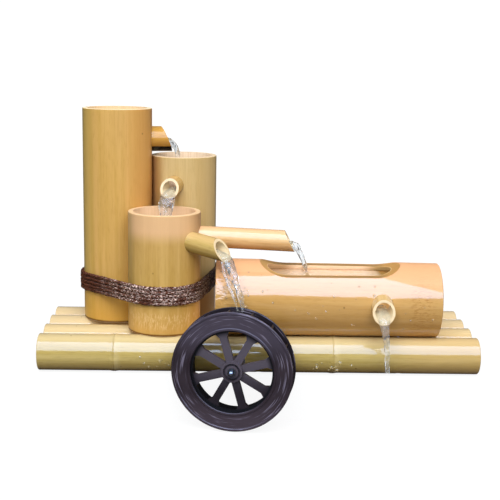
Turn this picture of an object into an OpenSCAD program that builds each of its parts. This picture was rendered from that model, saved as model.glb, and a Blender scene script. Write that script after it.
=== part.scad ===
// Table-top bamboo fountain: three upright culms of falling height feed one another through
// small bamboo spouts, then a water wheel and a lying trough, all on a raft of four poles.
// The raft underside is z = 0, its middle is the origin, and the poles run along X.

/* [Raft] */
// Outer diameter of a raft pole
pole_d = 39; // [34:1:46]
// Wall thickness of a raft pole
pole_wall = 5; // [3.5:0.5:7]
// Length of a raft pole
pole_length = 470; // [440:5:560]
// Gap between two neighbouring poles
pole_gap = 0.3; // [0.2:0.1:2]
// Distance between two growth nodes of a pole
pole_node_step = 233; // [200:1:260]
// Place of the right growth node of the front pole, along the raft
front_node = 78.5; // [60:0.5:100]
// Place of the right growth node of the second pole
second_node = 190; // [170:1:200]
// Place of the right growth node of the third pole
third_node = 155; // [130:1:180]
// Place of the right growth node of the back pole
back_node = 90; // [70:1:120]
// Height of the ring ridge at a growth node
ridge_h = 0.6; // [0.3:0.1:1.2]
// Half width of the ring ridge along the culm
ridge_half = 5; // [3:0.5:8]
// Diameter of the dowels that tie the poles together
dowel_d = 8; // [6:0.5:10]
// Distance of the outer dowels from the pole ends
dowel_in = 20; // [15:1:25]
// Place of the middle dowel along the raft
dowel_mid = 25; // [15:1:45]

/* [Upright tubes] */
// Outer diameter of the tall tube
tall_d = 76.7; // [70:0.1:84]
// Height of the tall tube
tall_h = 235.6; // [220:0.1:280]
// Depth of the open cup at the top of the tall tube
tall_cup = 68; // [55:1:80]
// Place of the tall tube along the raft
tall_x = -159.2; // [-170:0.1:-150]
// Place of the tall tube across the raft
tall_y = 27.3; // [22:0.1:32]
// Outer diameter of the medium tube
medium_d = 73.9; // [68:0.1:80]
// Height of the medium tube
medium_h = 182.6; // [175:0.1:190]
// Depth of the open cup at the top of the medium tube
medium_cup = 60; // [50:1:70]
// Direction from the tall tube to the medium tube, in plan
medium_bearing = 15.3; // [10:0.1:20]
// Outer diameter of the short tube
short_d = 78.3; // [72:0.1:84]
// Height of the short tube
short_h = 129.3; // [124:0.1:136]
// Depth of the open cup at the top of the short tube
short_cup = 56; // [50:1:70]
// Wall thickness of the upright tubes
tube_wall = 5.5; // [4.5:0.1:7]
// Gap between two tubes that stand side by side
tube_gap = 0.5; // [0.3:0.1:2]
// Thickness of a septum, the natural wall across a culm
septum_t = 3; // [2:0.5:5]
// Height of the lower septum of the tall tube above its foot
tall_low_septum = 60; // [45:1:80]

/* [Spouts] */
// Outer diameter of the tall tube's spout
tall_spout_d = 28; // [22:0.1:30]
// Free height between the medium tube's rim and the tall tube's spout
tall_spout_over = 4.6; // [2:0.1:12]
// Direction of the tall tube's spout, in plan
tall_spout_aim = 14; // [8:1:20]
// Dip of the tall tube's spout below level
tall_spout_dip = 0.5; // [0:0.5:6]
// Length of the tall tube's spout outside the tube, at its lip
tall_spout_out = 23; // [15:0.5:28]
// Outer diameter of the medium tube's spout
medium_spout_d = 21.4; // [18:0.1:24]
// Free height between the short tube's rim and the medium tube's spout
medium_spout_over = 12; // [6:0.1:18]
// Direction of the medium tube's spout, in plan
medium_spout_aim = -105; // [-110:1:-100]
// Dip of the medium tube's spout below level
medium_spout_dip = 8; // [0:0.5:12]
// Length of the medium tube's spout outside the tube, at its lip
medium_spout_out = 21; // [15:0.5:26]
// Outer diameter of the spout over the wheel
wheel_spout_d = 22.4; // [19:0.1:25]
// Height of the channel's axis above the axis of the spout over the wheel
wheel_spout_under = 2.7; // [0:0.1:6]
// Direction of the spout over the wheel, in plan
wheel_spout_aim = -37.5; // [-42:0.5:-30]
// Dip of the spout over the wheel below level
wheel_spout_dip = 5.5; // [0:0.5:10]
// Length of the spout over the wheel outside the tube, at its lip
wheel_spout_out = 48; // [38:0.5:52]
// Outer diameter of the channel that feeds the trough
channel_d = 22.8; // [20:0.1:25]
// Free height between the trough's crest and the channel
channel_over = 11.0; // [3:0.1:14]
// Direction of the channel, in plan
channel_aim = -3; // [-6:1:2]
// Dip of the channel below level
channel_dip = 1.8; // [0:0.1:3]
// Length of the channel outside the tube, at its lip
channel_out = 102; // [85:0.5:112]
// Outer diameter of the trough's spout
trough_spout_d = 24; // [20:0.1:26]
// Height of the spout's axis where it leaves the trough
trough_spout_z = 77.5; // [74:0.1:82]
// Place of the trough's spout along the raft
trough_spout_x = 127.8; // [110:0.1:135]
// Dip of the trough's spout below level
trough_spout_dip = 15; // [8:0.5:20]
// Length of the trough's spout outside the trough, at its lip
trough_spout_out = 18; // [14:0.5:24]
// Wall thickness of every spout
spout_wall = 2.8; // [2:0.1:3.4]
// Slant of the cut at the end of the tall tube's spout
tall_spout_slant = 24; // [15:1:38]
// Slant of the cut at the end of the spout over the wheel
wheel_spout_slant = 36; // [15:1:42]
// Slant of the cut at the end of the other spouts
spout_slant = 28; // [15:1:38]

/* [Trough] */
// Outer diameter of the trough at its left end
trough_d = 83.2; // [78:0.1:86]
// Outer diameter of the trough at its right end, where the culm is thinner
trough_end_d = 80.5; // [76:0.1:84]
// Wall thickness of the trough
trough_wall = 5.2; // [4:0.1:7]
// Left end of the trough along the raft
trough_left = -47.5; // [-49:0.1:-40]
// Length of the trough
trough_length = 239.3; // [230:0.1:260]
// Distance from the left end of the trough to its left septum
trough_septum_in = 11; // [9:0.5:16]
// Distance from the left end of the trough to its opened middle septum
trough_ring_in = 97; // [85:0.5:110]
// Distance from the right end of the trough to its right septum
trough_septum_out = 16; // [10:0.5:20]
// Height of the ring that is left of the middle septum
trough_ring_h = 3.6; // [2:0.1:5]
// Depth of the level window in the trough's top, at the window's middle
window_depth = 9.2; // [8.6:0.1:13]
// Distance from the left end of the trough to the window
window_in = 47.9; // [42:0.1:60]
// Length of the window along the trough's crest
window_length = 151.4; // [130:0.1:162]
// Radius of the curve that ends the window on the left
window_left_r = 50; // [30:1:60]
// Radius of the curve that ends the window on the right
window_right_r = 52; // [40:1:80]
// Lean of the window towards the front
window_lean = 5.8; // [0:0.5:10]

/* [Rope binding] */
// Thickness of the binding rope
rope_d = 3.6; // [3:0.1:4.5]
// Height of the middle of the binding above the raft underside
rope_z = 83.5; // [75:0.5:95]
// Turns of the rope
rope_turns = 5; // [3:1:7]
// Free space between two turns
rope_turn_gap = 0.45; // [0.42:0.01:1]
// Free space between the rope and the tubes
rope_gap = 0.15; // [0.1:0.05:0.5]
// Angle over which each rope end follows its tube inwards, behind the turns
rope_tuck = 27; // [15:3:36]

/* [Water wheel] */
// Outer diameter of the wheel
wheel_d = 126.6; // [116:0.1:128]
// Width of the wheel over both side plates
wheel_w = 24; // [20:0.5:28]
// Thickness of a side plate
plate_t = 2.6; // [2:0.1:3.5]
// Breadth of the side plates' ring
ring_w = 19.8; // [16:0.1:22]
// Wall thickness of the drum between the plates
drum_t = 1.6; // [1.2:0.1:2.4]
// Breadth of the rim that carries the spokes inside the drum
web_w = 2; // [2:0.1:5]
// Thickness of the spokes
web_t = 5; // [3:0.5:7]
// Distance of the spokes from the wheel's back
web_back = 14; // [8:0.5:16]
// Number of spokes
spokes = 8; // [6:1:10]
// Width of a spoke
spoke_w = 8; // [6:0.5:9]
// Angle of the first spoke from level
spoke_start = 16; // [0:1:44]
// Number of vanes
vanes = 16; // [10:1:20]
// Thickness of a vane
vane_t = 1.6; // [1.2:0.1:2.4]
// Radius of a vane's curve
vane_curve = 26; // [20:1:40]
// Outer diameter of the hub
hub_d = 22; // [19:0.1:24]
// Depth of the hub's face behind the wheel's front
hub_in = 1; // [0:0.5:4]
// Diameter of the recess in the hub's face
hub_recess_d = 18.2; // [16.4:0.1:18.6]
// Depth of the recess in the hub's face
hub_recess = 4; // [2:0.5:6]
// Diameter of the boss inside the recess
boss_d = 13.6; // [12:0.1:15]
// Outer diameter of the bush in the boss
bush_d = 8.4; // [7:0.1:9.6]

/* [Axle] */
// Diameter of the axle
axle_d = 4; // [3.5:0.1:5]
// Height of the axle above the raft underside
axle_h = 16.2; // [13:0.1:22]
// Place of the wheel's back along the raft
wheel_x = -25.2; // [-32:0.1:-18]
// Turn of the axle away from square to the poles
axle_turn = 10.6; // [0:0.1:13]
// Least free space between the wheel and the front pole
wheel_clear = 3.3; // [2:0.1:8]
// Depth of the washer's flat seat in the front pole
seat_sink = 2.2; // [1.8:0.1:3]
// Diameter of the washer at the pole
washer_d = 14; // [12:0.5:15]
// Thickness of the washers
washer_t = 1; // [0.8:0.1:1.6]
// Diameter of the spacer sleeve on the axle
sleeve_d = 7; // [6:0.1:9]
// Width over the flats of the domed nut
nut_flats = 7; // [7:0.1:8]
// Height of the domed nut
nut_h = 6.4; // [6:0.1:9]
// Play of the wheel along the axle, on each side
end_play = 0.3; // [0.2:0.1:0.6]

/* [Water supply] */
// Outer diameter of the riser hose
riser_d = 10; // [9:0.1:12]
// Bore of the riser hose
riser_bore = 7; // [6:0.1:8]
// Depth of the riser's mouth below the rim of the tall tube
riser_below = 22; // [15:1:35]
// Outer diameter of the inlet socket
socket_d = 14; // [14:0.1:16]
// Depth of the inlet socket that takes the pump's hose
socket_depth = 16; // [12:0.5:17]
// Diameter of the grommet's flange
grommet_d = 19; // [16.5:0.5:22]

/* [Screws] */
// Diameter of a screw's shank
screw_d = 3.5; // [3:0.1:4]
// Diameter of a screw's head
screw_head_d = 7; // [6:0.1:8]
// Height of a screw's head
screw_head_h = 2.2; // [1.8:0.1:3]
// Depth of a screw head below the underside of its pole
screw_sink = 1; // [0.5:0.1:2]
// Length of a screw inside the foot of a tube
tube_bite = 14; // [8:1:20]
// Length of a screw inside the wall of the trough
trough_bite = 3.5; // [2.5:0.1:4]
// Place of the left pair of trough screws along the raft
trough_screw_left = 0; // [-5:1:8]
// Place of the right pair of trough screws along the raft
trough_screw_right = 150; // [140:1:160]

/* [Hidden] */

$fn = 96;
// Radial clearance of a piece that is glued or driven into its hole
fit = 0.1;
// Radial clearance of the axle in its bush
running_fit = 0.05;
// Height of the bevel at a sawn culm end
sawn_edge = 0.7;
// Extra length of a cutting body past the face that it opens
over = 2;

pole_r = pole_d / 2;
pitch = pole_d + pole_gap;
pole_y = [-1.5 * pitch, -0.5 * pitch, 0.5 * pitch, 1.5 * pitch];
pole_top = pole_d;

dowel_out = pole_length / 2 - dowel_in;
dowel_x = [-dowel_out, dowel_mid, dowel_out];

tall_r = tall_d / 2;
medium_r = medium_d / 2;
short_r = short_d / 2;
tall_at = [tall_x, tall_y];
// The medium tube touches the tall one, and the short tube touches both
side_tm = tall_r + medium_r + tube_gap;
side_ts = tall_r + short_r + tube_gap;
side_ms = medium_r + short_r + tube_gap;
medium_at = tall_at + polar(side_tm, medium_bearing);
corner_at_tall = acos((side_tm ^ 2 + side_ts ^ 2 - side_ms ^ 2) / (2 * side_tm * side_ts));
short_at = tall_at + polar(side_ts, medium_bearing - corner_at_tall);

// The trough lies in the valley between the two front poles
trough_y = -pitch;
trough_taper = (trough_end_d - trough_d) / 2 / trough_length;
trough_mid_r = (trough_d + trough_end_d) / 4;
trough_lean = asin(pitch / 2 / (trough_mid_r + pole_r + fit));
trough_tilt = atan((trough_z_at(trough_left) - trough_z_at(trough_left + trough_length)) / trough_length);

// Wheel, in its own frame: z runs along the axle, from the wheel's back to the front
wheel_r = wheel_d / 2;
ring_r = wheel_r - ring_w;
drum_r = ring_r + drum_t;
front_crest = pole_y[0] - pole_r;
wheel_y = front_crest - wheel_clear - wheel_r * sin(axle_turn);
pole_face = pole_y[0] - sqrt(pole_r ^ 2 - (axle_h - pole_r) ^ 2);
seat_l = -(pole_face + seat_sink - wheel_y) / cos(axle_turn);
hub_face = wheel_w - hub_in;
bush_front = hub_face - 0.8;
bush_back = 0.8;
nut_l = bush_front + end_play + washer_t;
axle_front = nut_l + nut_h / 2;
axle_back = seat_l - (pole_d - seat_sink - over) / cos(axle_turn);

riser_at = [tall_x, pole_y[2]];
riser_foot = socket_depth + 5;
riser_top = pole_top + tall_h - riser_below;
socket_top = pole_top - over;
socket_foot = 1;
stop_t = 3;
tall_septum_z = pole_top + tall_h - tall_cup - septum_t / 2;

function polar(r, a) = [r * cos(a), r * sin(a)];
function on_culm(xy, z) = [xy[0], xy[1], z];

// Radius of the trough and height of its axis at a place along the raft
function trough_r_at(x) = trough_d / 2 + trough_taper * (x - trough_left);
function trough_z_at(x) = pole_r + sqrt((trough_r_at(x) + pole_r + fit) ^ 2 - (pitch / 2) ^ 2);

// Culm: a hollow stem from z = 0 to its length, with a wall across it at each septum and,
// where ridge is over 0, a ring ridge round it there. The taper is the radius gained per mm
function ridge_points(r, s, ridge) =
    [[r, s - ridge_half], [r + 0.55 * ridge, s - 0.5 * ridge_half], [r + ridge, s - 0.14 * ridge_half],
     [r + 0.45 * ridge, s], [r + ridge, s + 0.14 * ridge_half], [r, s + ridge_half]];

function culm_outline(length, r, end_r, septa, ridge) = concat(
    [[0, 0], [r - sawn_edge, 0], [r, sawn_edge]],
    ridge > 0 ? [for (s = septa) each ridge_points(r, s, ridge)] : [],
    [[end_r, length - sawn_edge], [end_r - sawn_edge, length], [0, length]]);

module bay(a, b, ra, rb, closed_a, closed_b) {
    c = 3;
    rotate_extrude()
        polygon(concat(
            closed_a ? [[0, a], [ra - c, a], [ra, a + c]] : [[0, a], [ra, a]],
            closed_b ? [[rb, b - c], [rb - c, b], [0, b]] : [[rb, b], [0, b]]));
}

module culm(length, r, wall, septa, ridge = 0, taper = 0) {
    n = len(septa);
    difference() {
        rotate_extrude()
            polygon(culm_outline(length, r, r + taper * length, septa, ridge));
        for (i = [0 : n]) {
            a = i == 0 ? -over : septa[i - 1] + septum_t / 2;
            b = i == n ? length + over : septa[i] - septum_t / 2;
            bay(a, b, r - wall + taper * a, r - wall + taper * b, i > 0, i < n);
        }
    }
}

// Spout frame: z runs along the spout from the parent's axis, and x points down
module along(at, aim, dip) {
    translate(at)
        rotate([0, 0, aim])
            rotate([0, 90 + dip, 0])
                children();
}

function ray_start(at, r, z, dip) = [at[0], at[1], z + r * tan(dip)];
function ray_reach(r, out, dip) = r / cos(dip) + out;

// Small culm with its end cut on a slant, so that the lower lip reaches furthest
module spout(at, aim, dip, parent_r, parent_wall, d, out, slant = spout_slant) {
    inner = sqrt((parent_r - parent_wall) ^ 2 - (d / 2) ^ 2) - 0.5;
    reach = ray_reach(parent_r, out, dip);
    along(at, aim, dip)
        difference() {
            translate([0, 0, inner])
                cylinder(h = reach - inner, d = d);
            translate([0, 0, inner - over])
                cylinder(h = reach - inner + 2 * over, d = d - 2 * spout_wall);
            translate([d / 2, 0, reach])
                rotate([0, -slant, 0])
                    translate([-2 * d, -d, 0])
                        cube([3 * d, 2 * d, d]);
        }
}

// Hole that takes a spout through one wall of its parent
module spout_hole(at, aim, dip, parent_r, parent_wall, d) {
    along(at, aim, dip)
        translate([0, 0, parent_r - 2.5 * parent_wall])
            cylinder(h = 4 * parent_wall, d = d + 2 * fit);
}

// Height of each spout's axis where it leaves its tube
tall_spout_z = pole_top + medium_h + tall_spout_over + tall_spout_d / 2;
medium_spout_z = pole_top + short_h + medium_spout_over + medium_spout_d / 2;
channel_z = trough_z_at(trough_left) + trough_d / 2 + channel_over + channel_d / 2;
wheel_spout_z = channel_z - wheel_spout_under;

tall_ray = ray_start(tall_at, tall_r, tall_spout_z, tall_spout_dip);
medium_ray = ray_start(medium_at, medium_r, medium_spout_z, medium_spout_dip);
wheel_ray = ray_start(short_at, short_r, wheel_spout_z, wheel_spout_dip);
channel_ray = ray_start(short_at, short_r, channel_z, channel_dip);
trough_ray_r = trough_r_at(trough_spout_x);
trough_ray = ray_start([trough_spout_x, trough_y], trough_ray_r, trough_spout_z, trough_spout_dip);

// Wood screw that points up, with the underside of its head at z = 0
module screw(length) {
    translate([0, 0, -screw_head_h])
        cylinder(h = screw_head_h, d1 = screw_head_d - 1.4, d2 = screw_head_d);
    cylinder(h = length - screw_d, d = screw_d);
    translate([0, 0, length - screw_d])
        cylinder(h = screw_d, d1 = screw_d, d2 = 0.6);
}

module screw_hole(length) {
    translate([0, 0, -screw_head_h - pole_r])
        cylinder(h = screw_head_h + pole_r, d = screw_head_d + 2 * fit);
    translate([0, 0, -over])
        cylinder(h = length + over + fit, d = screw_d + 2 * fit);
}

// Tube screws: two in the foot of each tube, up through the crest of the pole under it
screw_seat = screw_sink + screw_head_h;
tube_screw_length = pole_top - screw_seat + tube_bite;

module tube_screw_places(at, r, y) {
    mid = r - tube_wall / 2;
    half = sqrt(mid ^ 2 - (at[1] - y) ^ 2);
    for (side = [-1, 1])
        translate([at[0] + side * half, y, screw_seat])
            children();
}

module all_tube_screw_places() {
    tube_screw_places(tall_at, tall_r, pole_y[2]) children();
    tube_screw_places(medium_at, medium_r, pole_y[3]) children();
    tube_screw_places(short_at, short_r, pole_y[1]) children();
}

// Trough screws: along the line from a pole's axis to the trough's axis
trough_screw_length = pole_d - screw_seat + fit + trough_bite;

module trough_screw_places() {
    for (x = [trough_screw_left, trough_screw_right])
        for (side = [-1, 1])
            translate([x, trough_y + side * pitch / 2, pole_r])
                rotate([side * trough_lean, 0, 0])
                    translate([0, 0, screw_seat - pole_r])
                        children();
}

module dowel_places() {
    for (x = dowel_x)
        translate([x, 0, pole_r])
            rotate([90, 0, 0])
                children();
}

module at_wheel() {
    translate([wheel_x, wheel_y, axle_h])
        rotate([0, 0, -axle_turn])
            rotate([90, 0, 0])
                children();
}

// Space that the pieces on the raft need, which trims the rings of the poles under them
module trough_bed() {
    bed = fit / 2;
    translate([trough_left, trough_y, trough_z_at(trough_left)])
        rotate([0, 90 + trough_tilt, 0])
            cylinder(h = trough_length, r1 = trough_d / 2 + bed, r2 = trough_end_d / 2 + bed);
}

module tube_beds() {
    for (tube = [[tall_at, tall_r], [medium_at, medium_r], [short_at, short_r]])
        translate(on_culm(tube[0], pole_top))
            cylinder(h = over, r = tube[1] + 1);
}

module pole(y, right_node) {
    side = pole_r + pole_gap / 3;
    node_at = right_node + pole_length / 2;
    difference() {
        intersection() {
            translate([-pole_length / 2, y, pole_r])
                rotate([0, 90, 0])
                    culm(pole_length, pole_r, pole_wall, [node_at - pole_node_step, node_at], ridge_h);
            translate([-pole_length / 2 - over, y - side, -over])
                cube([pole_length + 2 * over, 2 * side, pole_d + 2 * over]);
        }
        trough_bed();
        tube_beds();
        dowel_places()
            cylinder(h = 3 * pitch, d = dowel_d + 2 * fit, center = true);
        all_tube_screw_places()
            screw_hole(tube_screw_length);
        trough_screw_places()
            screw_hole(trough_screw_length);
        children();
    }
}

module pole_front() {
    color("#c9bd74")
        pole(pole_y[0], front_node)
            at_wheel()
                union() {
                    translate([0, 0, seat_l])
                        cylinder(h = pole_d, d = washer_d + 1);
                    translate([0, 0, axle_back - over])
                        cylinder(h = -axle_back, d = axle_d + 2 * fit);
                }
}

module pole_second() {
    color("#d8c38d")
        pole(pole_y[1], second_node)
            union();
}

module pole_third() {
    color("#dcc795")
        pole(pole_y[2], third_node)
            translate(on_culm(riser_at, -over))
                cylinder(h = pole_d + 2 * over, d = socket_d + 2 * fit);
}

module pole_back() {
    color("#e0cb9c")
        pole(pole_y[3], back_node)
            union();
}

module raft_dowels() {
    color("#cbb07a")
        dowel_places()
            cylinder(h = 3 * pitch - 2, d = dowel_d, center = true);
}

module tall_tube() {
    low = tall_low_septum;
    high = tall_h - tall_cup - septum_t / 2;
    color("#c9a055")
        difference() {
            translate(on_culm(tall_at, pole_top))
                culm(tall_h, tall_r, tube_wall, [low, high]);
            spout_hole(tall_ray, tall_spout_aim, tall_spout_dip, tall_r, tube_wall, tall_spout_d);
            translate(on_culm(riser_at, pole_top + low - septum_t))
                cylinder(h = 2 * septum_t, d = riser_d + 2 * fit);
            translate(on_culm(riser_at, tall_septum_z - septum_t))
                cylinder(h = 2 * septum_t, d = riser_d + 4);
            all_tube_screw_places()
                screw_hole(tube_screw_length);
        }
}

module medium_tube() {
    color("#c6ab72")
        difference() {
            translate(on_culm(medium_at, pole_top))
                culm(medium_h, medium_r, tube_wall, [medium_h - medium_cup - septum_t / 2]);
            spout_hole(medium_ray, medium_spout_aim, medium_spout_dip, medium_r, tube_wall, medium_spout_d);
            all_tube_screw_places()
                screw_hole(tube_screw_length);
        }
}

module short_tube() {
    color("#cfae6c")
        difference() {
            translate(on_culm(short_at, pole_top))
                culm(short_h, short_r, tube_wall, [short_h - short_cup - septum_t / 2]);
            spout_hole(wheel_ray, wheel_spout_aim, wheel_spout_dip, short_r, tube_wall, wheel_spout_d);
            spout_hole(channel_ray, channel_aim, channel_dip, short_r, tube_wall, channel_d);
            all_tube_screw_places()
                screw_hole(tube_screw_length);
        }
}

// Window: a flat level cut along the trough's top that runs out in an arc at each end
module window_cut() {
    mid = trough_left + window_in + window_length / 2;
    floor_r = trough_r_at(mid) - window_depth;
    left_run = sqrt(2 * window_left_r * window_depth - window_depth ^ 2);
    right_run = sqrt(2 * window_right_r * window_depth - window_depth ^ 2);
    x0 = trough_left + window_in;
    x1 = x0 + window_length;
    translate([0, trough_y, trough_z_at(mid)])
        rotate([window_lean, 0, 0])
            translate([0, 0, floor_r]) {
                translate([x0 + left_run, -trough_d / 2, 0])
                    cube([window_length - left_run - right_run, trough_d, 2 * window_depth]);
                intersection() {
                    union() {
                        translate([x0 + left_run, 0, window_left_r])
                            rotate([90, 0, 0])
                                cylinder(h = trough_d, r = window_left_r, center = true, $fn = 240);
                        translate([x1 - right_run, 0, window_right_r])
                            rotate([90, 0, 0])
                                cylinder(h = trough_d, r = window_right_r, center = true, $fn = 240);
                    }
                    translate([x0 - 2 * over, -trough_d / 2, 0])
                        cube([window_length + 4 * over, trough_d, 2 * window_depth]);
                }
            }
}

module trough() {
    septa = [trough_septum_in, trough_ring_in, trough_length - trough_septum_out];
    opened_r = trough_r_at(trough_left + trough_ring_in) - trough_wall - trough_ring_h;
    color("#d2ab6e")
        difference() {
            translate([trough_left, trough_y, trough_z_at(trough_left)])
                rotate([0, 90 + trough_tilt, 0])
                    difference() {
                        culm(trough_length, trough_d / 2, trough_wall, septa, taper = trough_taper);
                        translate([0, 0, trough_ring_in - septum_t])
                            cylinder(h = 2 * septum_t, r = opened_r);
                    }
            window_cut();
            spout_hole(trough_ray, -90, trough_spout_dip, trough_ray_r, trough_wall, trough_spout_d);
            trough_screw_places()
                screw_hole(trough_screw_length);
        }
}

module tall_spout() {
    color("#d8a95c")
        spout(tall_ray, tall_spout_aim, tall_spout_dip, tall_r, tube_wall,
              tall_spout_d, tall_spout_out, tall_spout_slant);
}

module medium_spout() {
    color("#d9b87c")
        spout(medium_ray, medium_spout_aim, medium_spout_dip, medium_r, tube_wall,
              medium_spout_d, medium_spout_out);
}

// The root of the spout over the wheel is notched round the channel beside it
module wheel_spout() {
    color("#cdb069")
        difference() {
            spout(wheel_ray, wheel_spout_aim, wheel_spout_dip, short_r, tube_wall,
                  wheel_spout_d, wheel_spout_out, wheel_spout_slant);
            spout_hole(channel_ray, channel_aim, channel_dip, short_r, tube_wall, channel_d);
        }
}

module channel() {
    color("#dcb985")
        spout(channel_ray, channel_aim, channel_dip, short_r, tube_wall, channel_d, channel_out);
}

module trough_spout() {
    color("#e0cfa4")
        spout(trough_ray, -90, trough_spout_dip, trough_ray_r, trough_wall,
              trough_spout_d, trough_spout_out);
}

// Rope binding: one rope wound round the three tubes as a rising helix. A turn follows the
// tubes' common outline, with 8 rings on each tube, and both ends are tucked in at the back.
rope_r = rope_d / 2;
rings_each = 8;
rings_a_turn = 3 * rings_each;
rope_pitch = rope_d + rope_turn_gap;
rope_tubes = [[tall_at, tall_r], [short_at, short_r], [medium_at, medium_r]];

// Direction of the outward normal of the straight span from one tube to the next
function span_normal(a, b) =
    let (way = b[0] - a[0])
    atan2(way[1], way[0]) - acos((a[1] - b[1]) / norm(way));

// A turn runs tall, short, medium, with the tubes on its left
function after(angle, low) = angle < low ? after(angle + 360, low) : angle;
rope_leave_tall = span_normal(rope_tubes[0], rope_tubes[1]) + 360;
rope_leave_short = after(span_normal(rope_tubes[1], rope_tubes[2]), rope_leave_tall);
rope_leave_medium = after(span_normal(rope_tubes[2], rope_tubes[0]), rope_leave_short);
rope_leave = [rope_leave_tall, rope_leave_short, rope_leave_medium];
rope_reach = [rope_leave_medium - 360, rope_leave_tall, rope_leave_short];

function rope_step(t) = (rope_leave[t] - rope_reach[t]) / (rings_each - 1);
function rope_out(t) = (rope_tubes[t][1] + rope_gap + rope_r) / cos(rope_step(t) / 2);
function rope_at(t, angle) = rope_tubes[t][0] + polar(rope_out(t), angle);
function rope_plan(t, i) = rope_at(t, rope_reach[t] + i * rope_step(t));

rope_foot = rope_z - rope_pitch * rope_turns / 2;
rope_round = [for (turn = [0 : rope_turns - 1], t = [0 : 2], i = [0 : rings_each - 1])
    let (k = turn * rings_a_turn + t * rings_each + i)
    on_culm(rope_plan(t, i), rope_foot + rope_pitch * k / rings_a_turn)];
rope_head = rope_foot + rope_pitch * rope_turns;
tuck_rings = 3;
tuck_step = rope_tuck / tuck_rings;
rope_path = concat(
    [for (i = [tuck_rings : -1 : 1]) on_culm(rope_at(0, rope_reach[0] - i * tuck_step), rope_foot)],
    rope_round,
    [for (i = [1 : tuck_rings]) on_culm(rope_at(2, rope_leave[2] + i * tuck_step), rope_head)]);

// Least free space between two turns, measured between points over half a turn apart
rope_count = len(rope_path);
rope_least_gap = min([for (i = [0 : rope_count - 1], j = [i + rings_a_turn / 2 : rope_count - 1])
    norm(rope_path[i] - rope_path[j])]) - rope_d;
echo(rope_least_gap = rope_least_gap);

sides = 6;
function unit(v) = v / norm(v);
function ring(path, i) =
    let (last = len(path) - 1)
    let (way = unit(path[min(i + 1, last)] - path[max(i - 1, 0)]))
    let (side = unit(cross(way, [0, 0, 1])))
    let (lift = cross(side, way))
    [for (k = [0 : sides - 1]) path[i] + rope_r * (cos(k * 360 / sides) * side + sin(k * 360 / sides) * lift)];

module rope_binding() {
    last = rope_count - 1;
    points = [for (i = [0 : last]) each ring(rope_path, i)];
    skin = [for (i = [0 : last - 1], k = [0 : sides - 1])
        let (a = i * sides + k, b = i * sides + (k + 1) % sides)
        each [[a, b, b + sides], [a, b + sides, a + sides]]];
    foot = [for (k = [1 : sides - 2]) [0, k + 1, k]];
    head = [for (k = [1 : sides - 2]) [last * sides, last * sides + k, last * sides + k + 1]];
    color("#4a2c26")
        polyhedron(points, concat(skin, foot, head));
}

// Water supply: the pump's hose plugs into the socket from below, and the riser carries the
// water up through both septa of the tall tube into its cup
module inlet_socket() {
    color("#3a3a3c")
        translate(on_culm(riser_at, socket_foot))
            difference() {
                cylinder(h = socket_top - socket_foot, d = socket_d);
                translate([0, 0, -over])
                    cylinder(h = socket_depth + over, d = riser_d);
                translate([0, 0, socket_depth - over])
                    cylinder(h = stop_t + 2 * over, d = riser_bore);
                translate([0, 0, socket_depth + stop_t])
                    cylinder(h = pole_d, d = riser_d + 2 * fit);
            }
}

module riser_hose() {
    foot = socket_foot + socket_depth + stop_t;
    color("#c8ccca")
        translate(on_culm(riser_at, foot))
            difference() {
                cylinder(h = riser_top - foot, d = riser_d);
                translate([0, 0, -over])
                    cylinder(h = riser_top - foot + 2 * over, d = riser_bore);
            }
}

module riser_grommet() {
    color("#2b2b2b")
        translate(on_culm(riser_at, tall_septum_z - septum_t / 2))
            difference() {
                union() {
                    cylinder(h = septum_t + 1, d = riser_d + 4 - 2 * fit);
                    translate([0, 0, septum_t])
                        cylinder(h = 2, d = grommet_d);
                }
                translate([0, 0, -over])
                    cylinder(h = septum_t + 3 * over, d = riser_d + 2 * fit);
            }
}

module tube_screws() {
    color("#b9bcc0")
        all_tube_screw_places()
            screw(tube_screw_length);
}

module trough_screws() {
    color("#b9bcc0")
        trough_screw_places()
            screw(trough_screw_length);
}

// Wheel front: one moulding with the front plate, the drum, the spokes and the hub
plate_bead = 0.7;

module front_ring_section() {
    front = wheel_w;
    back = wheel_w - plate_t;
    polygon([[ring_r, 0], [drum_r, 0], [drum_r, back], [wheel_r - 0.5, back], [wheel_r, back + 0.5],
             [wheel_r, front - 0.8], [wheel_r - 0.8, front], [wheel_r - 2.4, front],
             [wheel_r - 3.2, front - plate_bead], [ring_r + 3.2, front - plate_bead],
             [ring_r + 2.4, front], [ring_r + 0.8, front], [ring_r, front - 0.8]]);
}

module spoke_plan() {
    root = hub_d / 2 - 1;
    end = ring_r + drum_t / 2;
    flare = ring_r - web_w - 5;
    polygon([[root, -spoke_w / 2], [flare, -spoke_w / 2], [end, -spoke_w / 2 - 5],
             [end, spoke_w / 2 + 5], [flare, spoke_w / 2], [root, spoke_w / 2]]);
}

module wheel_front() {
    color("#463f47")
        at_wheel()
            difference() {
                union() {
                    rotate_extrude()
                        front_ring_section();
                    translate([0, 0, web_back])
                        linear_extrude(web_t) {
                            difference() {
                                circle(r = ring_r + drum_t / 2);
                                circle(r = ring_r - web_w);
                            }
                            for (i = [0 : spokes - 1])
                                rotate(spoke_start + i * 360 / spokes)
                                    spoke_plan();
                        }
                    translate([0, 0, 2])
                        cylinder(h = hub_face - 2, d = hub_d);
                }
                translate([0, 0, hub_face - hub_recess])
                    difference() {
                        cylinder(h = hub_recess + over, d = hub_recess_d);
                        translate([0, 0, -over])
                            cylinder(h = hub_recess + over - 1, d = boss_d);
                    }
                translate([0, 0, -over])
                    cylinder(h = wheel_w + 2 * over, d = bush_d + 2 * running_fit);
            }
}

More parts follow.
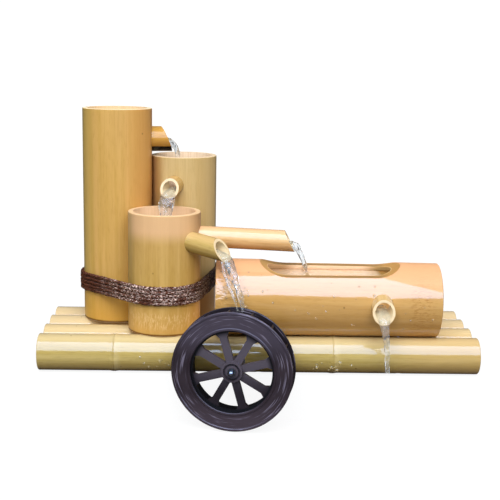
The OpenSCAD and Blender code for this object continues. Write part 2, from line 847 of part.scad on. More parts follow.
// Wheel back: the back plate with the vanes, pushed over the drum
module vane_plan() {
    inner = drum_r + fit;
    tip = wheel_r - 1.6;
    intersection() {
        translate([inner, vane_curve])
            difference() {
                circle(r = vane_curve + vane_t / 2);
                circle(r = vane_curve - vane_t / 2);
            }
        difference() {
            circle(r = tip);
            circle(r = inner);
        }
        translate([inner - 1, -vane_t])
            square([tip - inner + 2, ring_w / 2]);
    }
}

module wheel_back() {
    color("#3c363d")
        at_wheel() {
            rotate_extrude()
                polygon([[drum_r + fit, 0], [wheel_r - 0.8, 0], [wheel_r, 0.8],
                         [wheel_r, plate_t - 0.5], [wheel_r - 0.5, plate_t], [drum_r + fit, plate_t]]);
            translate([0, 0, plate_t / 2])
                linear_extrude(wheel_w - 1.5 * plate_t - fit)
                    for (i = [0 : vanes - 1])
                        rotate(i * 360 / vanes)
                            vane_plan();
        }
}

module hub_bush() {
    color("#c9a24a")
        at_wheel()
            translate([0, 0, bush_back])
                difference() {
                    cylinder(h = bush_front - bush_back, d = bush_d);
                    translate([0, 0, -over])
                        cylinder(h = wheel_w + over, d = axle_d + 2 * running_fit);
                }
}

module axle() {
    color("#c3c6ca")
        at_wheel()
            translate([0, 0, axle_back])
                cylinder(h = axle_front - axle_back, d = axle_d);
}

module collar(from, to, d) {
    translate([0, 0, from])
        difference() {
            cylinder(h = to - from, d = d);
            translate([0, 0, -over])
                cylinder(h = to - from + 2 * over, d = axle_d + 2 * fit);
        }
}

module axle_sleeve() {
    color("#5a5a5e")
        at_wheel()
            collar(seat_l + washer_t, bush_back - end_play, sleeve_d);
}

module seat_washer() {
    color("#c3c6ca")
        at_wheel()
            collar(seat_l, seat_l + washer_t, washer_d);
}

module front_washer() {
    color("#2b2b2b")
        at_wheel()
            collar(bush_front + end_play, nut_l, sleeve_d + 2);
}

// Domed nut: a hexagon with a ball-shaped cap and a blind hole for the axle
module domed_nut() {
    hex_h = 0.42 * nut_h;
    dome_r = 0.47 * nut_flats;
    color("#d6d8db")
        at_wheel()
            translate([0, 0, nut_l])
                difference() {
                    union() {
                        intersection() {
                            cylinder(h = hex_h, d = nut_flats / cos(30), $fn = 6);
                            cylinder(h = hex_h, d1 = nut_flats / cos(30), d2 = nut_flats + 0.3);
                        }
                        cylinder(h = nut_h - dome_r, r = dome_r);
                        translate([0, 0, nut_h - dome_r])
                            sphere(r = dome_r, $fn = 48);
                    }
                    translate([0, 0, -over])
                        cylinder(h = nut_h / 2 + over + fit, d = axle_d + 2 * fit);
                }
}

pole_front();
pole_second();
pole_third();
pole_back();
raft_dowels();
tall_tube();
medium_tube();
short_tube();
trough();
tall_spout();
medium_spout();
wheel_spout();
channel();
trough_spout();
rope_binding();
inlet_socket();
riser_hose();
riser_grommet();
tube_screws();
trough_screws();
wheel_front();
wheel_back();
hub_bush();
axle();
axle_sleeve();
seat_washer();
front_washer();
domed_nut();
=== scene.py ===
import math

import bpy
from mathutils import Matrix, Vector


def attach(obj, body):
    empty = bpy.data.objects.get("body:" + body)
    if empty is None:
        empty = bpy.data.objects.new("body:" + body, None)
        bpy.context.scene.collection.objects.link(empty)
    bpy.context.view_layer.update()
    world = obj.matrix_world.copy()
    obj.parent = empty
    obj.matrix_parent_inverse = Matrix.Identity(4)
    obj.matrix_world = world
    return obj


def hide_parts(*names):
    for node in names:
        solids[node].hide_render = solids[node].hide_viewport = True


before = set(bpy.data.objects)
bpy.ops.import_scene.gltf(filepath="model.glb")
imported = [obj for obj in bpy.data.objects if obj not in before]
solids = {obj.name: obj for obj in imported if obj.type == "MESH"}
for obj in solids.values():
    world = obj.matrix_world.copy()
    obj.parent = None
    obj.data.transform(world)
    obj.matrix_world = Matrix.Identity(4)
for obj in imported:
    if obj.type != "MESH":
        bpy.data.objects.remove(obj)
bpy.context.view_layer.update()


# Camera: it stands in front of the raft, a little higher than the tall tube, and looks down on the
# fountain. It is rolled by one degree.
camera_at = (-0.03505, -1.13026, 0.33745)
yaw, pitch, roll = (math.radians(angle) for angle in (1.255, 10.818, 0.992))
ahead = Vector((math.sin(yaw) * math.cos(pitch), math.cos(yaw) * math.cos(pitch), -math.sin(pitch)))
level = Vector((math.cos(yaw), -math.sin(yaw), 0))
above = level.cross(ahead)
right = math.cos(roll) * level + math.sin(roll) * above
upward = math.cos(roll) * above - math.sin(roll) * level
lens = bpy.data.cameras.new("photo_camera")
lens.sensor_width = 36
lens.lens = 74.61
camera = bpy.data.objects.new("photo_camera", lens)
bpy.context.scene.collection.objects.link(camera)
turned = Matrix((right, upward, -ahead)).transposed().to_4x4()
camera.matrix_world = Matrix.Translation(camera_at) @ turned
bpy.context.scene.camera = camera


# Raft poles: four thin culms side by side, sawn square and varnished. Each has two growth rings, a
# glossy olive skin with fine lengthwise fibres, and pale end grain with dark bundles.
def add(tree, kind, sockets=(), **settings):
    """A node with its settings; its inputs are linked or filled by name or number."""
    made = tree.nodes.new(kind)
    for key, value in settings.items():
        setattr(made, key, value)
    for key, value in dict(sockets).items():
        if isinstance(value, bpy.types.NodeSocket):
            tree.links.new(value, made.inputs[key])
        else:
            made.inputs[key].default_value = value
    return made


def calc(tree, operation, a, b=0.0, c=0.0):
    return add(tree, "ShaderNodeMath", {0: a, 1: b, 2: c}, operation=operation).outputs[0]


def fade(tree, value, low, high):
    """0 where value is at low, 1 where it is at high, smooth between."""
    return add(tree, "ShaderNodeMapRange", {"Value": value, "From Min": low, "From Max": high},
               interpolation_type="SMOOTHSTEP").outputs[0]


def tint(tree, share, a, b):
    """Colour a where share is 0, colour b where it is 1."""
    return add(tree, "ShaderNodeMix", {0: share, 6: a, 7: b}, data_type="RGBA").outputs[2]


def stretch(tree, vector, x, y, z):
    return add(tree, "ShaderNodeVectorMath", {0: vector, 1: (x, y, z)}, operation="MULTIPLY").outputs[0]


def noise(tree, vector, size, detail=2.0, rough=0.5):
    """Noise from 0 to 1 whose blobs are about size across."""
    return add(tree, "ShaderNodeTexNoise", {"Vector": vector, "Scale": 1 / size, "Detail": detail,
                                            "Roughness": rough}).outputs[0]


def paint(code):
    """A written colour, such as c9a352, as the renderer's linear numbers."""
    parts = [int(code[i:i + 2], 16) / 255 for i in (0, 2, 4)]
    return [p / 12.92 if p < 0.04045 else ((p + 0.055) / 1.055) ** 2.4 for p in parts] + [1]


def stain(tree, color, mask, share, shade):
    """Lays a written colour over another where the mask is, as strongly as share says."""
    return tint(tree, calc(tree, "MULTIPLY", mask, share), color, paint(shade))


def bump(tree, height, **sockets):
    return add(tree, "ShaderNodeBump", {"Height": height, **sockets}).outputs[0]


def new_group(name, inputs, outputs):
    tree = bpy.data.node_groups.new(name, "ShaderNodeTree")
    for label, kind, value in inputs:
        socket = tree.interface.new_socket(label, in_out="INPUT", socket_type="NodeSocket" + kind)
        socket.default_value = value
    for label, kind in outputs:
        tree.interface.new_socket(label, in_out="OUTPUT", socket_type="NodeSocket" + kind)
    return tree, add(tree, "NodeGroupInput").outputs, add(tree, "NodeGroupOutput").inputs


def new_material(name):
    material = bpy.data.materials.new(name)
    material.use_nodes = True
    tree = material.node_tree
    return material, tree, tree.nodes["Principled BSDF"].inputs


# Fibres and the short dashes run along the culm, bands are slow streaks, and the cloud is its mottle
tree, given, put = new_group(
    "culm_grain", [("Vector", "Vector", (0, 0, 0)), ("Seed", "Float", 0), ("Fibre Size", "Float", 0.0011)],
    [("Fibres", "Float"), ("Bands", "Float"), ("Dashes", "Float"), ("Cloud", "Float")])
moved = add(tree, "ShaderNodeVectorMath", {0: given["Vector"], 1: given["Seed"]}, operation="ADD").outputs[0]
fine = add(tree, "ShaderNodeTexNoise", {
    "Vector": stretch(tree, moved, 1, 1, 0.02), "Detail": 3, "Roughness": 0.6,
    "Scale": calc(tree, "DIVIDE", 1, given["Fibre Size"])}).outputs[0]
tree.links.new(fine, put["Fibres"])
for label, along, size, detail in [
        ("Bands", 0.035, 0.008, 3), ("Dashes", 0.14, 0.0016, 2), ("Cloud", 0.4, 0.035, 3)]:
    tree.links.new(noise(tree, stretch(tree, moved, 1, 1, along), size, detail), put[label])
culm_grain = tree

# A growth ring: a thin dark line with a pale powdery band on one side of it
tree, given, put = new_group(
    "growth_ring", [("Along", "Float", 0), ("Place", "Float", 0), ("Width", "Float", 0.004)],
    [("Line", "Float"), ("Powder", "Float")])
off = calc(tree, "DIVIDE", calc(tree, "SUBTRACT", given["Along"], given["Place"]), given["Width"])
tree.links.new(fade(tree, calc(tree, "ABSOLUTE", off), 0.45, 0.05), put["Line"])
tree.links.new(calc(tree, "MULTIPLY", fade(tree, off, 0.1, 0.5), fade(tree, off, 2.4, 0.6)), put["Powder"])
growth_ring = tree

# Specks: a few small dark marks, one to a cell, and only in the cells that the amount lets through
tree, given, put = new_group(
    "specks", [("Vector", "Vector", (0, 0, 0)), ("Size", "Float", 0.0012), ("Amount", "Float", 0.1)],
    [("Mask", "Float")])
cells = add(tree, "ShaderNodeTexVoronoi", {
    "Vector": given["Vector"], "Scale": calc(tree, "DIVIDE", 0.12, given["Size"])})
chance = add(tree, "ShaderNodeSeparateXYZ", {0: cells.outputs["Color"]}).outputs[0]
dots = fade(tree, cells.outputs["Distance"], 0.16, 0.06)
tree.links.new(calc(tree, "MULTIPLY", dots, calc(tree, "LESS_THAN", chance, given["Amount"])), put["Mask"])
specks = tree


# A culm's three finishes meet in soft edges: the sawn face's colour begins so deep under the skin,
# and ends so far before the full depth of the wall
skin_edge = (0.0002, 0.0005)
bore_edge = (0.0006, 0.0002)


def bamboo(name, start, turn, radius, wall, skin, dark, glow, inside="dcb98a", cut="f0dcb4", zones=(),
           taper=0.0, rings=(), ring_share=0.4, seed=0.0, gloss=0.1, wave=0.0002, wet=None, speck=0.05,
           scratch=None, inner_painted_light=0.0, coat=1.0, cut_zones=(), inner_zones=(), matte=None):
    """Varnished culm: start is a point on its axis, turn leads from +Z to the way it grows. A zone is
    (way, low, high, colour, share): way is an angle in the section, or "along" for places on the axis."""
    material, tree, shader = new_material(name)
    link = tree.links.new
    place = add(tree, "ShaderNodeMapping", {
        "Vector": add(tree, "ShaderNodeTexCoord").outputs["Object"], "Location": start,
        "Rotation": [math.radians(angle) for angle in turn]}, vector_type="TEXTURE").outputs[0]
    x, y, along = add(tree, "ShaderNodeSeparateXYZ", {0: place}).outputs
    across = calc(tree, "SQRT", calc(tree, "MULTIPLY_ADD", x, x, calc(tree, "MULTIPLY", y, y)))
    depth = calc(tree, "SUBTRACT", calc(tree, "MULTIPLY_ADD", along, taper, radius), across)

    def ringed(place, **sockets):
        sockets = {"Along": along, "Place": place, **sockets}
        return add(tree, "ShaderNodeGroup", sockets, node_tree=growth_ring).outputs

    def zoned(color, zones):
        for way, low, high, shade, share in zones:
            value = along
            if way != "along":
                c, s = math.cos(math.radians(way)) / radius, math.sin(math.radians(way)) / radius
                value = calc(tree, "MULTIPLY_ADD", x, c, calc(tree, "MULTIPLY", y, s))
            color = stain(tree, color, fade(tree, value, low, high), share, shade)
        return color

    # Skin: fibres, dashes and mottle over its own colour, then scratches, zones (which also paint light and
    # shade), rings and specks
    grain = add(tree, "ShaderNodeGroup", {"Vector": place, "Seed": seed}, node_tree=culm_grain)
    fibres, bands, dashes, cloud = grain.outputs
    color = tint(tree, fade(tree, bands, 0.35, 0.68), paint(skin), paint(glow))
    for mark, low, high, share, shade in [
            (fibres, 0.5, 0.75, 0.3, dark), (dashes, 0.52, 0.72, 0.22, dark),
            (dashes, 0.46, 0.3, 0.22, glow), (cloud, 0.5, 0.8, 0.22, dark)]:
        color = stain(tree, color, fade(tree, mark, low, high), share, shade)
    if scratch:
        low, high, size, shade = scratch
        strokes = fade(tree, noise(tree, stretch(tree, place, 1, 1, 0.2), size, 3, 0.65), 0.5, 0.58)
        edge = (high - low) * 0.35
        below_high, above_low = fade(tree, along, high, high - edge), fade(tree, along, low, low + edge)
        band = calc(tree, "MULTIPLY", below_high, above_low)
        color = stain(tree, color, strokes, calc(tree, "MULTIPLY", band, 0.75), shade)
    color = zoned(color, zones)
    for ring in rings:
        line, powder = ringed(ring)
        color = stain(tree, color, powder, ring_share, "e9d9a8")
        color = stain(tree, color, line, ring_share, "9a8248")
    marks = add(tree, "ShaderNodeGroup", {"Vector": place, "Amount": speck}, node_tree=specks).outputs[0]
    color = stain(tree, color, marks, 0.55, "6b4a1f")

    # Inside of the culm, darker where a septum was, then the sawn faces with their fine dark bundles
    inner = stain(tree, paint(inside), fade(tree, fibres, 0.4, 0.7), 0.3, "c99f6a")
    for ring in rings:
        inner = stain(tree, inner, ringed(ring, Width=0.011)["Line"], 0.8, "8a6636")
    inner = zoned(inner, inner_zones)
    hollow = fade(tree, depth, wall - bore_edge[0], wall - bore_edge[1])
    color = tint(tree, hollow, color, inner)
    bundles = add(tree, "ShaderNodeTexVoronoi", {"Vector": stretch(tree, place, 1, 1, 0.05), "Scale": 1500})
    ends = stain(tree, paint(cut), fade(tree, bundles.outputs["Distance"], 0.42, 0.1), 0.5, "c79a5c")
    ends = zoned(ends, cut_zones)
    sawn = calc(tree, "MULTIPLY", fade(tree, depth, *skin_edge),
                fade(tree, depth, wall - bore_edge[1], wall - bore_edge[0]))
    link(tint(tree, sawn, color, ends), shader["Base Color"])
    # Painted light: the inside glows a little in its own colour, as light that reaches into the hollow
    if inner_painted_light:
        link(tint(tree, hollow, (0, 0, 0, 1), inner), shader["Emission Color"])
        shader["Emission Strength"].default_value = inner_painted_light

    # Varnish: none on the sawn faces and inside, and dried dull above a line that falls to the right
    dull = calc(tree, "MAXIMUM", sawn, hollow)
    if matte:
        begin, end, top, drop = matte
        fallen = add(tree, "ShaderNodeMapRange", {
            "Value": along, "From Min": begin, "From Max": end}).outputs[0]
        line = calc(tree, "MULTIPLY_ADD", calc(tree, "POWER", fallen, 1.6), -drop, top)
        above_line = calc(tree, "SUBTRACT", calc(tree, "MULTIPLY", x, -1 / radius), line)
        ragged = calc(tree, "MULTIPLY_ADD", cloud, 0.12, above_line)
        dull = calc(tree, "MAXIMUM", dull, fade(tree, ragged, 0.05, 0.075))
    worn = calc(tree, "MULTIPLY_ADD", fade(tree, cloud, 0.35, 0.8), 0.1, gloss)
    link(calc(tree, "MULTIPLY_ADD", dull, 0.35, worn), shader["Roughness"])
    link(calc(tree, "MULTIPLY_ADD", dull, -coat, coat), shader["Coat Weight"])
    shader["Coat Roughness"].default_value = 0.03
    shader["Specular IOR Level"].default_value = 0.15
    swell = calc(tree, "MULTIPLY", noise(tree, stretch(tree, place, 1, 1, 0.5), 0.014, 2), wave)
    if wet:
        low, high, deep = wet
        drops = noise(tree, stretch(tree, place, 1, 1, 0.6), 0.0065, 2, 0.6)
        drops = calc(tree, "MULTIPLY", drops, deep)
        swell = calc(tree, "MULTIPLY_ADD", drops, fade(tree, along, high, low), swell)
    lines = bump(tree, fibres, Distance=0.0001, Strength=0.5)
    link(bump(tree, swell, Distance=1.0, Normal=lines), shader["Normal"])
    link(bump(tree, swell, Distance=1.0), shader["Coat Normal"])
    return material


def dress(name, material):
    for slot in solids[name].material_slots:
        slot.material = material


pole_radius, pole_wall, pole_half = 0.0195, 0.005, 0.235
pole_gap, between_rings = 0.0003, 0.233
pole_pitch = 2 * pole_radius + pole_gap
front_pole_y = -1.5 * pole_pitch
raft_top = 2 * pole_radius
for name, y, ring, skin, dark, glow, more in [
        ("pole_front", front_pole_y, 0.0785, "b39d56", "8d783e", "c8b370",
         [("along", 0.33, 0.44, "cfa66c", 0.4)]),
        ("pole_second", -0.5 * pole_pitch, 0.19, "cdae72", "a98a4c", "dcc08a", []),
        ("pole_third", 0.5 * pole_pitch, 0.155, "d2b484", "b09058", "e0c69c", []),
        ("pole_back", 1.5 * pole_pitch, 0.09, "d8b88a", "b69662", "e5cba2", [])]:
    right_ring = ring + pole_half
    # Painted light on each pole's top, and painted shade on its lower half, darkest along its bottom; the
    # front pole is also lighter towards its right end
    dress(name, bamboo(
        name + "_culm", (-pole_half, y, pole_radius), (0, 90, 0), pole_radius, pole_wall, skin, dark, glow,
        rings=(right_ring, right_ring - between_rings), ring_share=0.2, seed=y * 40, gloss=0.08, wave=0.00015,
        coat=0.78, zones=[(180, 0.2, 0.95, "e3cfa4", 0.6), (0, 0.0, 0.8, "a47c2a", 0.6),
                          (0, 0.6, 0.95, "6a440a", 0.75)] + more))


# Upright tubes: three thick culms, cut to three heights. Each skin is toned differently on its left
# and right sides and painted darker at its edges as shade, and the foot of the short one is scratched pale.
tall_radius, medium_radius, short_radius = 0.03835, 0.03695, 0.03915
tube_wall, tube_gap = 0.0055, 0.0005
tall_at, medium_bearing = (-0.1592, 0.0273), math.radians(15.3)


def from_tall(away, bearing):
    return tall_at[0] + away * math.cos(bearing), tall_at[1] + away * math.sin(bearing)


# The medium tube stands against the tall one, and the short tube against both
tall_to_medium = tall_radius + medium_radius + tube_gap
tall_to_short = tall_radius + short_radius + tube_gap
medium_to_short = medium_radius + short_radius + tube_gap
corner = math.acos((tall_to_medium ** 2 + tall_to_short ** 2 - medium_to_short ** 2)
                   / (2 * tall_to_medium * tall_to_short))
medium_at = from_tall(tall_to_medium, medium_bearing)
short_at = from_tall(tall_to_short, medium_bearing - corner)
# Painted shadow: a thin dark line round each tube's foot, where it stands on the raft
painted_foot_shadow = ("along", 0.003, 0.0014, "5a3008", 0.85)
tube_finish = {"speck": 0.02, "gloss": 0.3, "coat": 0.08}
# Painted shade darkens the outer edges of each tube's left and right sides; the other side zones only tone
# the skin
dress("tall_tube", bamboo(
    "tall_culm", (*tall_at, raft_top), (0, 0, 0), tall_radius, tube_wall, "c89f54", "b0873c", "d2a862",
    inside="e8cca0", cut="f4e0bb", seed=3.1, inner_painted_light=0.1, **tube_finish,
    zones=[(0, 0.1, 0.85, "d69a56", 0.55), (180, 0.5, 0.9, "bba24c", 0.5), (180, 0.86, 1.0, "7c7544", 0.4),
           (0, 0.94, 1.0, "7c4012", 0.35), ("along", 0.06, 0.0, "cc9834", 0.6), painted_foot_shadow]))
# Painted shade on the medium tube's left side, beside the tall tube, and on its foot below the cord
dress("medium_tube", bamboo(
    "medium_culm", (*medium_at, raft_top), (0, 0, 0), medium_radius, tube_wall, "c6a970", "ad9054", "d0b783",
    inside="ecd8be", cut="e8d0ac", seed=5.3, inner_painted_light=0.05, **tube_finish,
    zones=[(0, 0.4, 0.8, "ceb078", 0.5), (0, 0.93, 1.0, "8a7a50", 0.5), (180, 0.5, 0.93, "96561f", 0.62),
           ("along", 0.042, 0.02, "8f4614", 0.48)]))
dress("short_tube", bamboo(
    "short_culm", (*short_at, raft_top), (0, 0, 0), short_radius, tube_wall, "bc974e", "a67e3c", "cca862",
    inside="e4c29c", cut="e9c79a", seed=8.7, inner_painted_light=0.08, **tube_finish,
    scratch=(0.003, 0.028, 0.0013, "e6ca92"),
    zones=[("along", 0.06, 0.1, "d3a674", 0.12), ("along", 0.096, 0.114, "ecc096", 0.66),
           (0, 0.66, 1.0, "85602a", 0.45), (180, 0.72, 0.98, "8c7a48", 0.5),
           ("along", 0.05, 0.0, "dea452", 0.5), painted_foot_shadow]))


# Trough: the thickest culm, laid in the valley of the two front poles, with a window sawn out of its
# top. It tapers a little to the right, its top is painted lighter and peach as light, its underside is
# painted darker as shade, with a dark painted shadow where it lies on the poles, and its left end is wet.
trough_left, trough_y, trough_z = -0.0475, -pole_pitch, 0.07746
trough_thick, trough_wall, trough_taper, trough_fall = 0.0416, 0.0052, -0.00564, -0.0066
trough_lean = 90.38


def trough_radius(x):
    return trough_thick + trough_taper * (x - trough_left)


def trough_axis(x):
    return trough_y, trough_z + trough_fall * (x - trough_left)


# Painted shade: the sawn faces are dark brown, a little lighter at the window's two ends, and the inside is
# darker near the window's ends
dress("trough", bamboo(
    "trough_culm", (trough_left, trough_y, trough_z), (0, trough_lean, 0), trough_thick, trough_wall,
    "c99d5a", "b07e3c", "d2a868", inside="f4dcc0", cut="a37c48", taper=trough_taper, rings=(0.097,),
    ring_share=0.0, seed=11.9, wave=0.00022, wet=(0.004, 0.03, 0.002), inner_painted_light=0.42,
    scratch=(0.2, 0.236, 0.0011, "ae7c3c"), matte=(0.13, 0.236, 0.79, 0.37),
    cut_zones=[("along", 0.076, 0.06, "c69a5a", 0.9), ("along", 0.174, 0.185, "c09050", 0.9)],
    inner_zones=[("along", 0.09, 0.072, "b08850", 0.75), ("along", 0.158, 0.176, "b0924c", 0.8),
                 ("along", 0.055, 0.045, "ecd2ac", 0.9), ("along", 0.192, 0.2, "ecd2ac", 0.9)],
    zones=[(180, 0.1, 0.9, "e9b083", 0.85), (0, 0.0, 0.85, "c4862e", 0.6), (0, 0.84, 0.99, "4a2406", 0.85)]))


# Spouts: thin culms glued into holes in the walls of the tubes and the trough, each cut on a slant so
# that its lower lip reaches furthest. The channel, which feeds the trough, is the longest. Each spout
# is painted darker underneath as shade, the wheel spout and the channel lighter on top as light, and
# the tall tube's spout has a black painted shadow underneath.
spout_wall = 0.0028
for name, start, turn, radius, coat, skin, dark, glow, zones in [
        ("tall_spout", (*tall_at, 0.24053), (0, 90.5, 14), 0.014, 0.25, "cb9a48", "a26e26", "d6aa5c",
         [(0, -0.3, 0.5, "9c661c", 0.75), (0, 0.52, 0.57, "080402", 1.0)]),
        ("medium_spout", (*medium_at, 0.19619), (0, 98, -105), 0.0107, 0.5, "c09a58", "94702f", "d2b070",
         [(0, 0.1, 0.9, "8f6a30", 0.6)]),
        ("wheel_spout", (*short_at, 0.14253), (0, 95.5, -37.5), 0.0112, 0.6, "b5964f", "8a6c30", "c9ae6a",
         [(0, -0.1, 0.8, "8a6c2c", 0.7), (180, 0.3, 0.9, "dcbb84", 0.6)]),
        ("channel", (*short_at, 0.14269), (0, 91.8, -3), 0.0114, 0.55, "d9aa6e", "b08040", "ecc894",
         [(0, 0.1, 0.8, "a9742c", 0.75), (0, 0.75, 0.97, "4a2a0a", 0.7), (180, 0.2, 0.8, "efc49a", 0.6)]),
        ("trough_spout", (0.1278, trough_y, 0.08838), (0, 105, -90), 0.012, 0.5, "c9a76c", "a07838", "dcc08c",
         [(0, 0.1, 0.9, "8f6830", 0.6)])]:
    dress(name, bamboo(
        name + "_culm", start, turn, radius, spout_wall, skin, dark, glow, inside="e8d8b4", cut="e8d2aa",
        seed=start[0] * 90, wave=0.0001, zones=zones, inner_painted_light=0.1, coat=coat))


# Binding: one wet brown cord of four twisted strands, wound five times round the three tubes and
# roughed up by its loose fibres. Both ends are tucked in behind the turns.
cord_radius, cord_gap = 0.0018, 0.00015
cord_turns, cord_pitch, cord_middle = 5, 0.00405, 0.0835
bound = [(Vector(tall_at), tall_radius), (Vector(short_at), short_radius), (Vector(medium_at), medium_radius)]


def leaving(a, b):
    """Angle at which a tight cord leaves circle a for circle b, both on its left."""
    way = b[0] - a[0]
    return math.atan2(way.y, way.x) - math.acos((a[1] - b[1]) / way.length)


def past(angle, low):
    """The same angle, a full turn or more on where it would lie before low."""
    return past(angle + 2 * math.pi, low) if angle < low else angle


leave = [leaving(bound[0], bound[1]) + 2 * math.pi]
leave.append(past(leaving(bound[1], bound[2]), leave[0]))
leave.append(past(leaving(bound[2], bound[0]), leave[1]))
reach = [leave[2] - 2 * math.pi, leave[0], leave[1]]


def on_tube(tube, angle, height):
    centre, radius = bound[tube]
    out = radius + cord_gap + cord_radius
    return Vector((centre.x + out * math.cos(angle), centre.y + out * math.sin(angle), height))


# A lap climbs one pitch in 24 parts: seven on each tube's arc and one on the straight span after it
lap_parts, tube_parts, arc_parts = 24, 8, 7
cord_foot, cord_top = (cord_middle + side * cord_pitch * cord_turns / 2 for side in (-1, 1))
tuck, tuck_steps, arc_steps = math.radians(27), 9, 28
cord_line = [on_tube(0, reach[0] - tuck * (1 - i / tuck_steps), cord_foot) for i in range(tuck_steps)]
for lap in range(cord_turns):
    for tube in range(len(bound)):
        for i in range(arc_steps + 1):
            share = i / arc_steps
            rise = (lap + (tube * tube_parts + share * arc_parts) / lap_parts) * cord_pitch
            angle = reach[tube] + share * (leave[tube] - reach[tube])
            cord_line.append(on_tube(tube, angle, cord_foot + rise))
cord_line += [on_tube(2, leave[2] + tuck * i / tuck_steps, cord_top) for i in range(1, tuck_steps + 1)]


def new_curve(name, points):
    curve = bpy.data.curves.new(name, "CURVE")
    curve.dimensions = "3D"
    spline = curve.splines.new("POLY")
    spline.points.add(len(points) - 1)
    for point, place in zip(spline.points, points):
        point.co = (*place, 1)
    made = bpy.data.objects.new(name, curve)
    bpy.context.scene.collection.objects.link(made)
    return made


def new_tree(name, inputs):
    """A geometry tree with its named inputs, its group input and its group output."""
    tree = bpy.data.node_groups.new(name, "GeometryNodeTree")
    tree.interface.new_socket("Geometry", in_out="INPUT", socket_type="NodeSocketGeometry")
    for label, kind in inputs:
        tree.interface.new_socket(label, in_out="INPUT", socket_type="NodeSocket" + kind)
    tree.interface.new_socket("Geometry", in_out="OUTPUT", socket_type="NodeSocketGeometry")
    return tree, add(tree, "NodeGroupInput").outputs, add(tree, "NodeGroupOutput").inputs


def grow(name, source, tree, values):
    """Runs a geometry tree on an object and keeps the result as a plain mesh piece."""
    modifier = source.modifiers.new(tree.name, "NODES")
    modifier.node_group = tree
    for item in tree.interface.items_tree:
        if item.in_out == "INPUT" and item.name in values:
            modifier[item.identifier] = values[item.name]
    bpy.context.view_layer.update()
    graph = bpy.context.evaluated_depsgraph_get()
    mesh = bpy.data.meshes.new_from_object(source.evaluated_get(graph))
    mesh.name = name
    source.modifiers.remove(modifier)
    bpy.data.objects.remove(source)
    piece = bpy.data.objects.new(name, mesh)
    bpy.context.scene.collection.objects.link(piece)
    return piece


def vec(tree, operation, a, b=(0, 0, 0)):
    return add(tree, "ShaderNodeVectorMath", {0: a, 1: b}, operation=operation).outputs[0]


def scaled(tree, vector, size):
    return add(tree, "ShaderNodeVectorMath", {0: vector, "Scale": size}, operation="SCALE").outputs[0]


def position(tree):
    return add(tree, "GeometryNodeInputPosition").outputs[0]


def finish_tree(tree, shape, material, put):
    shape = add(tree, "GeometryNodeSetShadeSmooth", {"Geometry": shape, "Shade Smooth": True}).outputs[0]
    shape = add(tree, "GeometryNodeRealizeInstances", {"Geometry": shape}).outputs[0]
    shape = add(tree, "GeometryNodeSetMaterial", {"Geometry": shape, "Material": material}).outputs[0]
    tree.links.new(shape, put["Geometry"])


# Strands: copies of the cord's line, each led round it in a screw, then given a round section
tree, given, put = new_tree("twisted_strands", [
    ("Strands", "Int"), ("Strand Radius", "Float"), ("Offset", "Float"), ("Lay", "Float"), ("Step", "Float"),
    ("Stray", "Float"), ("Material", "Material")])
line = add(tree, "GeometryNodeResampleCurve", {
    "Curve": given["Geometry"], "Length": given["Step"]}, mode="LENGTH")
copies = add(tree, "GeometryNodeDuplicateElements", {
    "Geometry": line.outputs[0], "Amount": given["Strands"]}, domain="SPLINE")
number = copies.outputs["Duplicate Index"]
length = add(tree, "GeometryNodeSplineParameter").outputs["Length"]
way = add(tree, "GeometryNodeInputTangent").outputs[0]
out = vec(tree, "NORMALIZE", vec(tree, "CROSS_PRODUCT", way, (0, 0, 1)))
up = vec(tree, "CROSS_PRODUCT", out, way)
angle = calc(tree, "MULTIPLY", 2 * math.pi, calc(
    tree, "ADD", calc(tree, "DIVIDE", length, given["Lay"]), calc(tree, "DIVIDE", number, given["Strands"])))
wander = noise(tree, position(tree), 0.006, 1)
far = calc(tree, "MULTIPLY", given["Offset"], calc(tree, "MULTIPLY_ADD", wander, 0.4, 0.8))
shift = vec(tree, "ADD", scaled(tree, out, calc(tree, "MULTIPLY", far, calc(tree, "COSINE", angle))),
            scaled(tree, up, calc(tree, "MULTIPLY", far, calc(tree, "SINE", angle))))
own_place = vec(tree, "ADD", position(tree), add(tree, "ShaderNodeCombineXYZ", {0: number}).outputs[0])
loose = add(tree, "ShaderNodeTexNoise", {"Vector": own_place, "Scale": 230, "Detail": 2}).outputs["Color"]
stray = scaled(tree, vec(tree, "SUBTRACT", loose, (0.5, 0.5, 0.5)), given["Stray"])
led = add(tree, "GeometryNodeSetPosition", {
    "Geometry": copies.outputs[0], "Offset": vec(tree, "ADD", shift, stray)}).outputs[0]
section = add(tree, "GeometryNodeCurvePrimitiveCircle", {"Resolution": 5, "Radius": given["Strand Radius"]})
shape = add(tree, "GeometryNodeCurveToMesh", {
    "Curve": led, "Profile Curve": section.outputs[0], "Fill Caps": True}).outputs[0]
finish_tree(tree, shape, given["Material"], put)
twisted_strands = tree

# The cord is brown, with painted glints of wet shine that fade towards its left end, and painted shade at its
# right end
glint_start, glint_full = -0.185, -0.14
shade_start, shade_full = -0.085, -0.055
cord_material, tree, shader = new_material("wet_cord")
place = add(tree, "ShaderNodeTexCoord").outputs["Object"]
tone = noise(tree, stretch(tree, place, 1, 1, 2), 0.0016, 3, 0.7)
worn = noise(tree, place, 0.012, 2)
color = tint(tree, fade(tree, tone, 0.35, 0.7), paint("1f0d07"), paint("7c4830"))
far = add(tree, "ShaderNodeSeparateXYZ", {0: place}).outputs[0]
glint = fade(tree, noise(tree, stretch(tree, place, 0.45, 0.45, 1.6), 0.0011, 2, 0.6), 0.535, 0.585)
glint = calc(tree, "MULTIPLY", glint, fade(tree, worn, 0.3, 0.5))
color = stain(tree, color, glint, fade(tree, far, glint_start, glint_full), "ead2c8")
color = stain(tree, color, fade(tree, far, shade_start, shade_full), 0.75, "1a0c07")
tree.links.new(color, shader["Base Color"])
tree.links.new(calc(tree, "MULTIPLY_ADD", worn, 0.35, 0.25), shader["Roughness"])
tree.links.new(bump(tree, tone, Distance=0.0004), shader["Normal"])
shader["Specular IOR Level"].default_value = 0.1

